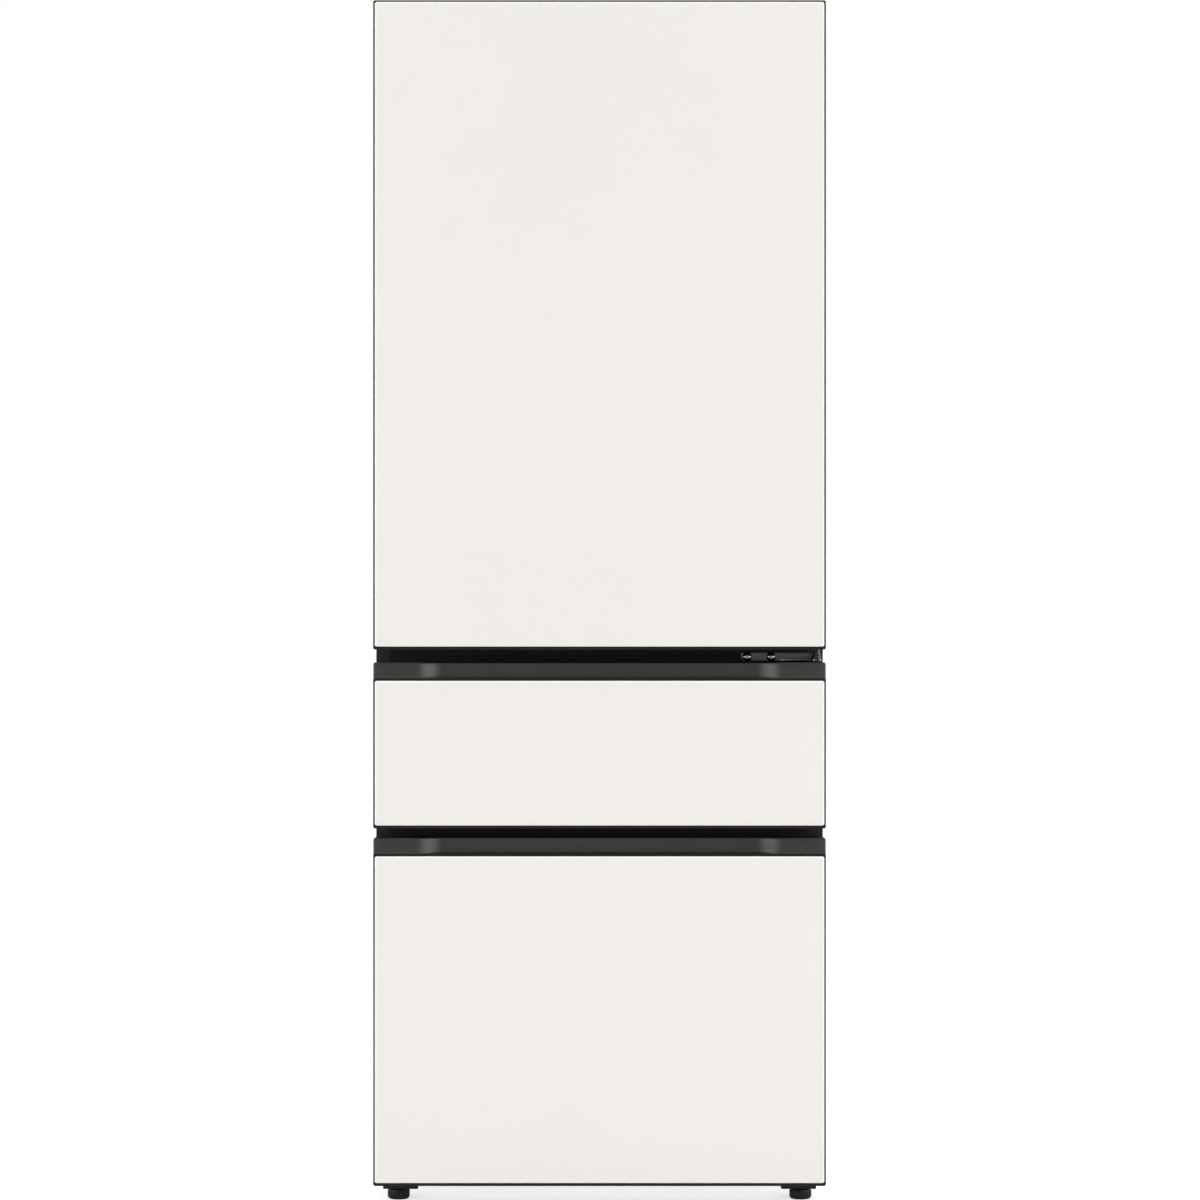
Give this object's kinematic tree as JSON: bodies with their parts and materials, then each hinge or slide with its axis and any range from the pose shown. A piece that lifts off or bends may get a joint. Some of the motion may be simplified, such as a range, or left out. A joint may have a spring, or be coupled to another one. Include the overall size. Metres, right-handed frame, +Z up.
{
  "type": "kimchi refrigerator",
  "caption": "Tall free-standing kimchi refrigerator: a right-hinged upper door over pull-out drawers, with scooped metal grips, levelling feet and rear rollers.",
  "frame": {"origin": "on the floor under the middle of the body, at the bounding box's bottom centre", "axes": "+Z up; the door and drawer faces look along -Y; +X to the right as seen from the front"},
  "size_m": [0.666, 0.74, 1.786],
  "materials": {
    "shell_paint": "satin",
    "galvanised_steel": "satin",
    "insulation": "matt foam",
    "liner_plastic": "satin",
    "rail_paint": "satin",
    "duct_plastic": "satin",
    "fin_aluminium": "bright",
    "fan_plastic": "satin",
    "motor_plastic": "matt",
    "touch_panel": "gloss",
    "lamp_diffuser": "translucent",
    "shelf_glass": "clear",
    "trim_plastic": "satin",
    "tub_plastic": "satin",
    "lid_plastic": "satin",
    "zinc_steel": "zinc plated",
    "black_plastic": "matt",
    "cap_plastic": "satin",
    "black_steel": "satin",
    "rubber_black": "matt",
    "roller_plastic": "matt",
    "condenser_paint": "matt",
    "pan_plastic": "matt",
    "cover_plastic": "matt",
    "front_white": "fine matt",
    "frame_plastic": "matt",
    "handle_metal": "brushed",
    "gasket_grey": "matt",
    "clear_plastic": "clear"
  },
  "bodies": {
    "cabinet": {"outer_shell": "shell_paint", "back_panel": "galvanised_steel", "base_frame": "galvanised_steel", "insulation_foam": "insulation", "upper_liner": "liner_plastic", "drawer_liners": "liner_plastic", "cross_rails": "rail_paint", "duct_cover": "duct_plastic", "evaporator": "fin_aluminium", "fan_motors": "motor_plastic", "control_panel": "touch_panel", "lamp_lens": "lamp_diffuser", "shelf_glass": "shelf_glass", "shelf_trims": "trim_plastic", "upper_tubs": "tub_plastic", "upper_lids": "lid_plastic", "fixed_rails": "zinc_steel", "top_hinge": "zinc_steel", "middle_hinge": "zinc_steel", "top_hinge_cover": "cap_plastic", "screws": "zinc_steel", "base_brackets": "black_steel", "compressor": "black_steel", "compressor_mounts": "rubber_black", "condenser": "condenser_paint", "drip_pan": "pan_plastic", "rear_cover": "cover_plastic", "control_box": "cover_plastic", "cord_gland": "rubber_black"},
    "door": {"door_panel": "front_white", "door_frame": "frame_plastic", "door_liner": "liner_plastic", "door_gasket": "gasket_grey", "door_bins": "clear_plastic"},
    "upper_drawer": {"upper_drawer_panel": "front_white", "upper_drawer_handle": "handle_metal", "upper_drawer_frame": "frame_plastic", "upper_drawer_liner": "liner_plastic", "upper_drawer_gasket": "gasket_grey", "upper_drawer_box": "liner_plastic", "upper_drawer_tubs": "tub_plastic", "upper_drawer_lids": "lid_plastic", "upper_drawer_rails": "zinc_steel"},
    "upper_slide_members": {"upper_slides": "zinc_steel"},
    "lower_drawer": {"lower_drawer_panel": "front_white", "lower_drawer_handle": "handle_metal", "lower_drawer_frame": "frame_plastic", "lower_drawer_liner": "liner_plastic", "lower_drawer_gasket": "gasket_grey", "lower_drawer_box": "liner_plastic", "lower_drawer_tubs": "tub_plastic", "lower_drawer_lids": "lid_plastic", "lower_drawer_rails": "zinc_steel"},
    "lower_slide_members": {"lower_slides": "zinc_steel"},
    "evaporator_fan_wheel": {"evaporator_fan": "fan_plastic"},
    "condenser_fan_wheel": {"condenser_fan": "fan_plastic"},
    "left_foot": {"foot_left": "black_plastic"},
    "right_foot": {"foot_right": "black_plastic"},
    "left_roller": {"roller_left": "roller_plastic"},
    "right_roller": {"roller_right": "roller_plastic"}
  },
  "joints": [
    {"name": "door_swing", "type": "hinge", "parent": "cabinet", "child": "door", "pos_m": [0.322, -0.338, 1.2984], "axis": [0, 0, 1], "range_deg": [0, 115]},
    {"name": "upper_drawer_slide", "type": "slide", "parent": "cabinet", "child": "upper_drawer", "axis": [0, -1, 0], "range_m": [0, 0.4]},
    {"name": "upper_slide_travel", "type": "slide", "parent": "cabinet", "child": "upper_slide_members", "axis": [0, -1, 0], "range_m": [0, 0.2]},
    {"name": "lower_drawer_slide", "type": "slide", "parent": "cabinet", "child": "lower_drawer", "axis": [0, -1, 0], "range_m": [0, 0.4]},
    {"name": "lower_slide_travel", "type": "slide", "parent": "cabinet", "child": "lower_slide_members", "axis": [0, -1, 0], "range_m": [0, 0.2]},
    {"name": "evaporator_fan_spin", "type": "hinge", "parent": "cabinet", "child": "evaporator_fan_wheel", "pos_m": [0, 0.259, 1.1913], "axis": [0, 1, 0], "continuous": true},
    {"name": "condenser_fan_spin", "type": "hinge", "parent": "cabinet", "child": "condenser_fan_wheel", "pos_m": [-0.086, 0.237, 0.136], "axis": [1, 0, 0], "continuous": true},
    {"name": "left_foot_turn", "type": "hinge", "parent": "cabinet", "child": "left_foot", "pos_m": [-0.3, -0.29, 0], "axis": [0, 0, 1], "range_deg": [-360, 360]},
    {"name": "right_foot_turn", "type": "hinge", "parent": "cabinet", "child": "right_foot", "pos_m": [0.3, -0.29, 0], "axis": [0, 0, 1], "range_deg": [-360, 360]},
    {"name": "left_roller_spin", "type": "hinge", "parent": "cabinet", "child": "left_roller", "pos_m": [-0.3, 0.322, 0.015], "axis": [1, 0, 0], "continuous": true},
    {"name": "right_roller_spin", "type": "hinge", "parent": "cabinet", "child": "right_roller", "pos_m": [0.3, 0.322, 0.015], "axis": [1, 0, 0], "continuous": true}
  ],
  "couplings": [
    {"joint": "upper_slide_travel", "follows": "upper_drawer_slide", "ratio": 0.5},
    {"joint": "lower_slide_travel", "follows": "lower_drawer_slide", "ratio": 0.5}
  ]
}
